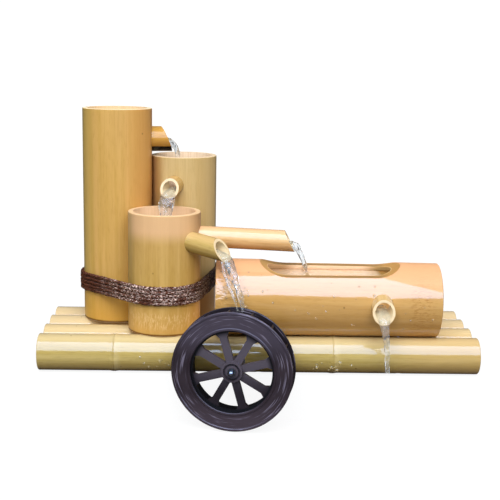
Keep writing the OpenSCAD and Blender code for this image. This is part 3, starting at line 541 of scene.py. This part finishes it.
binding = grow("cord_binding", new_curve("cord_line", cord_line), twisted_strands, {
    "Strands": 4, "Strand Radius": 0.0009, "Offset": 0.0014, "Lay": 0.0085, "Step": 0.0008, "Stray": 0.0026,
    "Material": cord_material})
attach(binding, "fountain")
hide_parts("rope_binding")


# Water wheel: two moulded halves of dark plastic pushed together. Water runs round the ring, and its
# face has bluish streaks of painted wet sheen that follow the turn. Its top, foot and spokes are
# painted lighter as light, and its back and the bore's wall darker as shade.
wheel_x, wheel_radius, wheel_clear = -0.0252, 0.0633, 0.0033
axle_height, axle_turn = 0.0162, math.radians(10.6)
hub_y = front_pole_y - pole_radius - wheel_clear - wheel_radius * math.sin(axle_turn)
hub_turn = (math.radians(90), 0, -axle_turn)
plate_back = (0.0205, 0.0215)
bore_radius, bore_half, bore_front = 0.0431, 0.0021, 0.0232
wheel_material, tree, shader = new_material("wet_moulded_plastic")
link = tree.links.new
place = add(tree, "ShaderNodeMapping", {
    "Vector": add(tree, "ShaderNodeTexCoord").outputs["Object"],
    "Location": (wheel_x, hub_y, axle_height), "Rotation": hub_turn}, vector_type="TEXTURE").outputs[0]
x, y, along = add(tree, "ShaderNodeSeparateXYZ", {0: place}).outputs
across = calc(tree, "SQRT", calc(tree, "MULTIPLY_ADD", x, x, calc(tree, "MULTIPLY", y, y)))
angle = calc(tree, "ARCTAN2", y, x)
# Streaks are thin across the ring and long round it, and lie only on the plate outside the bore
streaks_across, streaks_round = 900, 2.2
round_place = add(tree, "ShaderNodeCombineXYZ", {
    0: calc(tree, "MULTIPLY", across, streaks_across),
    1: calc(tree, "MULTIPLY", calc(tree, "COSINE", angle), streaks_round),
    2: calc(tree, "MULTIPLY", calc(tree, "SINE", angle), streaks_round)}).outputs[0]
streaks = noise(tree, round_place, 1.0, 2)
wet = calc(tree, "MULTIPLY", fade(tree, streaks, 0.56, 0.72), fade(tree, across, 0.046, 0.052))
mottle = noise(tree, place, 0.03, 2)
color = tint(tree, fade(tree, mottle, 0.3, 0.7), paint("22171b"), paint("2f2429"))
front = fade(tree, along, *plate_back)
# Painted light on the front plate's top
top = calc(tree, "MULTIPLY", fade(tree, calc(tree, "ADD", y, 0.01), 0.02, 0.05), front)
color = stain(tree, color, top, 0.6, "48414e")
# Painted shade over all that lies behind the front plate
color = tint(tree, calc(tree, "MULTIPLY_ADD", front, -0.6, 0.6), color, paint("100a0d"))
# Painted light on the foot of the ring
foot = calc(tree, "MULTIPLY", fade(tree, y, -0.025, -0.055), fade(tree, across, 0.042, 0.046))
color = stain(tree, color, foot, 0.6, "4a3f48")
# Painted light on the spokes and hub, most of all above the axle
painted_spoke_light = calc(tree, "MULTIPLY", fade(tree, across, 0.043, 0.036), fade(tree, y, -0.025, 0.008))
color = stain(tree, color, painted_spoke_light, 0.75, "57505a")
# The streaks' bluish colour is a painted wet sheen
color = stain(tree, color, wet, 0.5, "9a94ac")
# Painted shade: the wall of the bore, inside the drum, is near black
off_bore = calc(tree, "ABSOLUTE", calc(tree, "SUBTRACT", across, bore_radius))
bore = calc(tree, "LESS_THAN", off_bore, bore_half)
bore = calc(tree, "MULTIPLY", bore, calc(tree, "LESS_THAN", along, bore_front))
link(tint(tree, bore, color, paint("0c090b")), shader["Base Color"])
link(calc(tree, "MULTIPLY_ADD", wet, -0.15, 0.42), shader["Roughness"])
link(bump(tree, noise(tree, place, 0.0009, 2), Distance=0.00006), shader["Normal"])
shader["Specular IOR Level"].default_value = 0.25
for name in ("wheel_front", "wheel_back"):
    dress(name, wheel_material)


# Small fittings: axle, seat washer and screws of stainless steel, a chromed cap nut, a brass bush, a
# grey hose, hardwood dowels, and sleeve, socket, grommet and front washer moulded in black. Most of
# them are hidden inside the raft, the wheel and the tubes.
def plain(name, base, other, rough, metal=0.0, size=0.004):
    """Two tones of one finish, mixed by a fine noise that also varies the gloss."""
    material, tree, shader = new_material(name)
    place = add(tree, "ShaderNodeTexCoord").outputs["Object"]
    tone = noise(tree, place, size, 3)
    tree.links.new(tint(tree, fade(tree, tone, 0.3, 0.7), paint(base), paint(other)), shader["Base Color"])
    tree.links.new(calc(tree, "MULTIPLY_ADD", tone, 0.12, rough), shader["Roughness"])
    tree.links.new(bump(tree, tone, Distance=0.00003), shader["Normal"])
    shader["Metallic"].default_value = metal
    return material


steel = plain("stainless_steel", "b4b7bb", "8f9296", 0.22, 1.0)
black = plain("black_moulding", "1c1c1e", "2a2a2c", 0.4)
for name, material in [
        ("axle", steel), ("seat_washer", steel), ("tube_screws", steel), ("trough_screws", steel),
        ("front_washer", black), ("axle_sleeve", black), ("inlet_socket", black), ("riser_grommet", black),
        ("domed_nut", plain("bright_chrome", "8c8e94", "6e7076", 0.1, 1.0)),
        ("hub_bush", plain("drawn_brass", "c9a24a", "a98436", 0.25, 1.0)),
        ("riser_hose", plain("grey_hose", "b9bdb9", "a3a7a3", 0.35)),
        ("raft_dowels", plain("hardwood", "c4a06a", "a98452", 0.55, size=0.002))]:
    dress(name, material)


# Water: it stands in the cups and in the trough, and falls from the lips in glassy, twisted streams.
# It is no solid part of the fountain, so it is only seen.
def water(name, base, other, rough, clear, size, swell, ends=()):
    """Two tones of water that is more or less clear. Each of its ends is (low, high, colour) along x."""
    material, tree, shader = new_material(name)
    place = add(tree, "ShaderNodeTexCoord").outputs["Object"]
    ripple = noise(tree, place, size, 2)
    tree.links.new(bump(tree, ripple, Distance=swell, Strength=0.6), shader["Normal"])
    color = tint(tree, fade(tree, ripple, 0.35, 0.65), paint(base), paint(other))
    if ends:
        far = add(tree, "ShaderNodeSeparateXYZ", {0: place}).outputs[0]
        for low, high, shade in ends:
            color = tint(tree, fade(tree, far, low, high), color, paint(shade))
    tree.links.new(color, shader["Base Color"])
    shader["Roughness"].default_value = rough
    shader["IOR"].default_value = 1.33
    shader["Transmission Weight"].default_value = clear
    return material


clear_water = water("clear_water", "dfe6ea", "ffffff", 0.02, 0.92, 0.004, 0.0005)
still_water = water("still_water", "f0d6b8", "f4dec4", 0.12, 0.45, 0.012, 0.00005)
# The trough's water is painted darker at its two ends, as shade under the ends of the window, and a little
# greyer towards its left
trough_water = water("trough_water", "fbe4c8", "fff0dc", 0.12, 0.4, 0.012, 0.00005,
                     [(0.045, 0.02, "ead0ae"), (0.124, 0.132, "c09a58"), (0.012, 0.004, "c09a58")])

# Falling water: the line is smoothed, given an oval section that follows the points' radius, and its
# skin is drawn out into strands by a noise that is stretched along the fall
tree, given, put = new_tree("falling_water", [
    ("Step", "Float"), ("Flatness", "Float"), ("Strand Depth", "Float"), ("Strand Size", "Float"),
    ("Seed", "Float"), ("Material", "Material")])
line = add(tree, "GeometryNodeCurveSplineType", {
    "Curve": given["Geometry"]}, spline_type="CATMULL_ROM").outputs[0]
line = add(tree, "GeometryNodeResampleCurve", {
    "Curve": line, "Length": given["Step"]}, mode="LENGTH").outputs[0]
oval = add(tree, "GeometryNodeCurvePrimitiveCircle", {"Resolution": 28, "Radius": 1.0}).outputs[0]
flat = add(tree, "ShaderNodeCombineXYZ", {0: 1.0, 1: given["Flatness"], 2: 1.0}).outputs[0]
oval = add(tree, "GeometryNodeTransform", {"Geometry": oval, "Scale": flat}).outputs[0]
shape = add(tree, "GeometryNodeCurveToMesh", {
    "Curve": line, "Profile Curve": oval, "Fill Caps": True,
    "Scale": add(tree, "GeometryNodeInputRadius").outputs[0]}).outputs[0]
place = vec(tree, "MULTIPLY", position(tree), (1, 1, 0.22))
strand = add(tree, "ShaderNodeTexNoise", {
    "W": given["Seed"], "Vector": place, "Scale": calc(tree, "DIVIDE", 1, given["Strand Size"]), "Detail": 2},
    noise_dimensions="4D").outputs[0]
push = calc(tree, "MULTIPLY", calc(tree, "SUBTRACT", strand, 0.5), given["Strand Depth"])
push = scaled(tree, add(tree, "GeometryNodeInputNormal").outputs[0], push)
shape = add(tree, "GeometryNodeSetPosition", {"Geometry": shape, "Offset": push}).outputs[0]
finish_tree(tree, shape, given["Material"], put)
falling_water = tree

# Each stream is led through points of (x, y, z, radius) in millimetres, from its spout's bore down
for name, seed, flatness, depth, points in [
        ("water_tall", 1.0, 0.62, 0.004, [
            (-125, 36, 237, 7), (-113, 39, 236.5, 8), (-104, 41, 236, 8), (-98, 42.5, 233, 5.5),
            (-94, 43.6, 226, 4), (-91.5, 44.3, 212, 3.6), (-90.3, 44.7, 188, 3.6)]),
        ("water_medium", 2.0, 0.55, 0.006, [
            (-94.5, 16, 186.2, 5.5), (-97.8, 3.5, 184.4, 6.2), (-100.6, -6.8, 181.5, 8),
            (-102.4, -13, 174, 8.2), (-103, -16.5, 162, 6.8), (-103.4, -18.5, 150, 5.8),
            (-103.6, -19.5, 136, 6)]),
        ("water_wheel", 3.0, 0.6, 0.0055, [
            (-78, -47, 134, 5.6), (-55, -64.6, 131.5, 6), (-38.5, -77.2, 128, 6.8), (-31.5, -85.5, 119, 5.7),
            (-26, -91, 104, 4.4), (-21.5, -95, 90, 3.3), (-18.5, -97.5, 75.5, 2.7)]),
        ("water_wheel_side", 4.0, 0.7, 0.003, [
            (-40, -80, 125, 2.4), (-38, -86, 114, 2.0), (-33.5, -91, 101, 1.6), (-28, -95.5, 89, 1.3),
            (-24, -97.5, 76, 1.1)]),
        ("water_channel", 5.0, 0.62, 0.0045, [
            (-64, -29.4, 137, 6), (-15, -31.9, 135.4, 6.6), (33, -34.4, 133.5, 7.2), (41.5, -34.9, 127, 4.6),
            (46.5, -35.2, 117, 4.2), (49, -35.3, 108.5, 3.7), (49.6, -35.4, 103.4, 3.4)]),
        ("water_trough", 6.0, 0.7, 0.0035, [
            (127.8, -70, 74, 6), (127.8, -83, 70.4, 6.6), (128, -94, 66, 5.8), (129, -98.6, 56, 3.8),
            (130.4, -100.6, 42, 3.0), (131.6, -101.6, 27, 2.6), (132.2, -102, 13.5, 2.2)])]:
    *places, radii = zip(*[[value / 1000 for value in point] for point in points])
    fall = new_curve(name, list(zip(*places)))
    for point, radius in zip(fall.data.splines[0].points, radii):
        point.radius = radius
    piece = grow(name, fall, falling_water, {
        "Step": 0.0009, "Flatness": flatness, "Strand Depth": depth, "Strand Size": 0.0045, "Seed": seed,
        "Material": clear_water})
    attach(piece, "fountain")


def new_mesh(name, points, faces, smooth=False):
    mesh = bpy.data.meshes.new(name)
    mesh.from_pydata([tuple(p) for p in points], [], faces)
    mesh.update()
    for face in mesh.polygons:
        face.use_smooth = smooth
    made = bpy.data.objects.new(name, mesh)
    bpy.context.scene.collection.objects.link(made)
    return made


def pool(name, centre, tube_radius, low, high, drip):
    """Water standing in a tube's cup, with low rings that spread from the place where a stream falls."""
    rings, sides, ripple, ripple_turns, cup_gap = 16, 48, 0.0006, 900, 0.00025
    radius = tube_radius - tube_wall - cup_gap
    points = [(centre[0], centre[1], high)]
    for ring in range(1, rings + 1):
        r = radius * ring / rings
        for k in range(sides):
            turn = 2 * math.pi * k / sides
            x, y = r * math.cos(turn), r * math.sin(turn)
            wave = math.sin(ripple_turns * math.hypot(x - drip[0], y - drip[1]))
            points.append((centre[0] + x, centre[1] + y, high + ripple * wave * (1 - (ring / rings) ** 6)))
    points += [(x, y, low) for x, y, z in points[-sides:]] + [(centre[0], centre[1], low)]
    last = len(points) - 1
    faces = [(0, 1 + k, 1 + (k + 1) % sides) for k in range(sides)]
    faces += [(1 + r * sides + k, 1 + (r + 1) * sides + k, 1 + (r + 1) * sides + (k + 1) % sides,
               1 + r * sides + (k + 1) % sides) for r in range(rings) for k in range(sides)]
    faces += [(last, last - sides + (k + 1) % sides, last - sides + k) for k in range(sides)]
    piece = new_mesh(name, points, faces, smooth=True)
    piece.data.materials.append(still_water)
    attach(piece, "fountain")


pool("pool_tall", tall_at, tall_radius, 0.2088, 0.2425, (0.02, 0.0))
pool("pool_medium", medium_at, medium_radius, 0.1618, 0.1885, (-0.004, -0.003))
pool("pool_short", short_at, short_radius, 0.1125, 0.1378, (-0.001, 0.008))

# Water in the trough: its section follows the bore up to the level of the window's front edge, and
# low rings spread from the place where the channel's stream falls
level_z, bed_z, stations, rows = 0.1043, 0.088, 60, 18
pool_left, pool_length, pool_gap = -0.0335, 0.2085, 0.0004
drip_x, ripple, ripple_turns = 0.0495, 0.00015, 500
points = []
for i in range(stations + 1):
    x = pool_left + pool_length * i / stations
    bore = trough_radius(x) - trough_wall - pool_gap
    axis_y, axis_z = trough_axis(x)
    wide, foot = (math.sqrt(bore ** 2 - (z - axis_z) ** 2) for z in (level_z, bed_z))
    for k in range(rows + 1):
        y = wide * (2 * k / rows - 1)
        edge = (1 - abs(2 * k / rows - 1) ** 4) * min(1, i / 3, (stations - i) / 3)
        wave = math.sin(ripple_turns * math.hypot(x - drip_x, y))
        points.append((x, axis_y + y, level_z + ripple * edge * wave))
    points += [(x, axis_y + foot, bed_z), (x, axis_y - foot, bed_z)]
row = rows + 3
faces = [(i * row + k, (i + 1) * row + k, (i + 1) * row + (k + 1) % row, i * row + (k + 1) % row)
         for i in range(stations) for k in range(row)]
faces += [tuple(range(row)), tuple(stations * row + k for k in reversed(range(row)))]
piece = new_mesh("pool_trough", points, faces)
for face in piece.data.polygons:
    face.use_smooth = face.normal.z > 0.9
piece.data.materials.append(trough_water)
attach(piece, "fountain")


# Beads and spray: drops that cling to the wet trough and to the front pole, and drops that fly off
# where the stream falls on the wheel. They are water, so they are only seen.
tree, given, put = new_tree("beads", [
    ("Density", "Float"), ("Smallest", "Float"), ("Largest", "Float"), ("Height", "Float"),
    ("Spread", "Float"), ("Seed", "Int"), ("Material", "Material")])
spots = add(tree, "GeometryNodeDistributePointsOnFaces", {
    "Mesh": given["Geometry"], "Density": given["Density"], "Seed": given["Seed"]})
drop = add(tree, "GeometryNodeMeshIcoSphere", {"Radius": 1.0, "Subdivisions": 3}).outputs[0]
form = add(tree, "ShaderNodeCombineXYZ", {0: 1.0, 1: 1.0, 2: given["Height"]}).outputs[0]
drop = add(tree, "GeometryNodeTransform", {"Geometry": drop, "Scale": form}).outputs[0]
size = add(tree, "FunctionNodeRandomValue", {
    2: given["Smallest"], 3: given["Largest"], "Seed": given["Seed"]}).outputs[1]
offset = add(tree, "FunctionNodeRandomValue", {
    0: (-1, -1, -1), 1: (1, 1, 1), "Seed": given["Seed"]}, data_type="FLOAT_VECTOR").outputs[0]
moved = add(tree, "GeometryNodeSetPosition", {
    "Geometry": spots.outputs["Points"], "Offset": scaled(tree, offset, given["Spread"])}).outputs[0]
placed = add(tree, "GeometryNodeInstanceOnPoints", {
    "Points": moved, "Instance": drop, "Rotation": spots.outputs["Rotation"], "Scale": size}).outputs[0]
finish_tree(tree, placed, given["Material"], put)
beads = tree


def trough_skin(x):
    return trough_radius(x), *trough_axis(x)


def pole_skin(x):
    return pole_radius, front_pole_y, pole_radius


def patch(name, skin, x_span, angles):
    """Part of a lying culm's skin, between two angles from the front towards the top."""
    steps, points = 8, []
    for i in range(steps + 1):
        turn = math.radians(angles[0] + (angles[1] - angles[0]) * i / steps)
        for x in x_span:
            radius, y, z = skin(x)
            points.append((x, y - radius * math.cos(turn), z + radius * math.sin(turn)))
    return new_mesh(name, points, [(2 * i, 2 * i + 1, 2 * i + 3, 2 * i + 2) for i in range(steps)])


spray = new_mesh("spray_wheel", [
    (-0.041, -0.079, 0.121), (-0.028, -0.09, 0.122), (-0.017, -0.098, 0.082), (-0.027, -0.094, 0.082)],
    [(0, 1, 2, 3)])
low_drop, round_drop = 0.75, 1.3
for source, density, small, large, height, spread, seed in [
        (patch("beads_trough", trough_skin, (-0.04, 0.185), (-45, 38)),
         2600, 0.0005, 0.0014, low_drop, 0, 4),
        (patch("beads_trough_left", trough_skin, (-0.044, -0.012), (-30, 60)),
         26000, 0.0004, 0.0016, low_drop, 0, 9),
        (patch("beads_pole", pole_skin, (-0.128, -0.094), (-38, 5)),
         18000, 0.0006, 0.0015, low_drop, 0, 2),
        (patch("beads_pole_right", pole_skin, (0.055, 0.102), (-42, -5)),
         15000, 0.0007, 0.0022, low_drop, 0, 7),
        (spray, 90000, 0.0003, 0.0009, round_drop, 0.004, 5)]:
    piece = grow(source.name, source, beads, {
        "Density": float(density), "Smallest": small, "Largest": large, "Height": height,
        "Spread": float(spread), "Seed": seed, "Material": clear_water})
    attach(piece, "fountain")


# Studio: the raft stands on a pale step with the wheel hanging before it. A wide soft box lights the
# front, and a bright sky card is seen only in the varnish, as the long band of light on the culms.
step_edge, step_low, floor_half, floor_gap = -0.0792, -0.0485, 3.0, 0.0002
profile = [(floor_half, 0.0), (step_edge, 0.0), (step_edge, step_low), (-floor_half, step_low)]
points = [(x, y, z - floor_gap) for x in (-floor_half, floor_half) for y, z in profile]
floor = new_mesh("studio_floor", points, [(i, i + 1, i + 5, i + 4) for i in range(3)])


def seen_white(tree, aside, dark, white):
    """The light's rays, and a mask that is 1 where the camera looks straight, or through water that
    isn't far to a side."""
    rays = add(tree, "ShaderNodeLightPath").outputs
    through = calc(tree, "MULTIPLY", rays["Is Transmission Ray"], fade(
        tree, calc(tree, "ABSOLUTE", add(tree, "ShaderNodeSeparateXYZ", {0: aside}).outputs[0]), dark, white))
    return rays, calc(tree, "MAXIMUM", rays["Is Camera Ray"], through)


floor_material, tree, shader = new_material("white_floor")
shader["Roughness"].default_value = 0.9
place = add(tree, "ShaderNodeTexCoord").outputs["Object"]
seen = seen_white(tree, place, 0.8, 0.45)[1]
tree.links.new(tint(tree, seen, (0.14, 0.13, 0.12, 1), (0.9, 0.9, 0.9, 1)), shader["Base Color"])
white = add(tree, "ShaderNodeEmission", {"Color": (1, 1, 1, 1), "Strength": 1.05}).outputs[0]
far = add(tree, "ShaderNodeVectorMath", {0: place}, operation="LENGTH").outputs["Value"]
plain_white = calc(tree, "MULTIPLY_ADD", fade(tree, far, 0.25, 0.45), 0.14, 0.86)
mixed = add(tree, "ShaderNodeMixShader", {
    0: calc(tree, "MULTIPLY", seen, plain_white), 1: tree.nodes["Principled BSDF"].outputs[0],
    2: white}).outputs[0]
tree.links.new(mixed, tree.nodes["Material Output"].inputs[0])
floor.data.materials.append(floor_material)

# The world is white to the camera, dimmer as light on the fountain, and dimmer still in its shine
world_white, world_light, world_shine = 1.05, 0.48, 0.18
world = bpy.data.worlds.new("studio_world")
world.use_nodes = True
tree = world.node_tree
rays, seen = seen_white(tree, add(tree, "ShaderNodeTexCoord").outputs["Generated"], 0.4, 0.25)
power = calc(tree, "MULTIPLY_ADD", seen, world_white - world_light, world_light)
less_shine = calc(tree, "MULTIPLY", rays["Is Glossy Ray"], world_light - world_shine)
power = calc(tree, "SUBTRACT", power, less_shine)
tree.links.new(power, tree.nodes["Background"].inputs["Strength"])
tree.nodes["Background"].inputs["Color"].default_value = (1, 1, 1, 1)
bpy.context.scene.world = world

soft_box_at, soft_box_aim = Vector((-0.08, -1.5, 1.7)), Vector((0, 0, 0.08))
soft_light = bpy.data.lights.new("soft_box", "AREA")
soft_light.shape = "RECTANGLE"
soft_light.size, soft_light.size_y, soft_light.energy = 2.2, 1.6, 60
soft_box = bpy.data.objects.new("soft_box", soft_light)
bpy.context.scene.collection.objects.link(soft_box)
aimed = (soft_box_aim - soft_box_at).to_track_quat("-Z", "Y").to_matrix().to_4x4()
soft_box.matrix_world = Matrix.Translation(soft_box_at) @ aimed
soft_box.visible_camera = soft_box.visible_glossy = False

# The card leans back over the camera, and the culms' varnish shows it as one band of light
card_middle, card_up = Vector((0, -1.05, 1.22)), Vector((0, 0.749, 0.663))
card_wide, card_high = 1.8, 0.875
card = new_mesh("sky_card", [card_middle + Vector((x * card_wide, 0, 0)) + card_up * card_high * h
                             for x, h in ((-1, -1), (1, -1), (1, 1), (-1, 1))], [(0, 1, 2, 3)])
card_material, tree, shader = new_material("card_light")
glow = add(tree, "ShaderNodeEmission", {"Color": (0.42, 0.56, 0.84, 1), "Strength": 10.5}).outputs[0]
tree.links.new(glow, tree.nodes["Material Output"].inputs[0])
card.data.materials.append(card_material)
card.visible_camera = card.visible_diffuse = card.visible_transmission = card.visible_shadow = False
bpy.context.scene.view_settings.view_transform = "Standard"
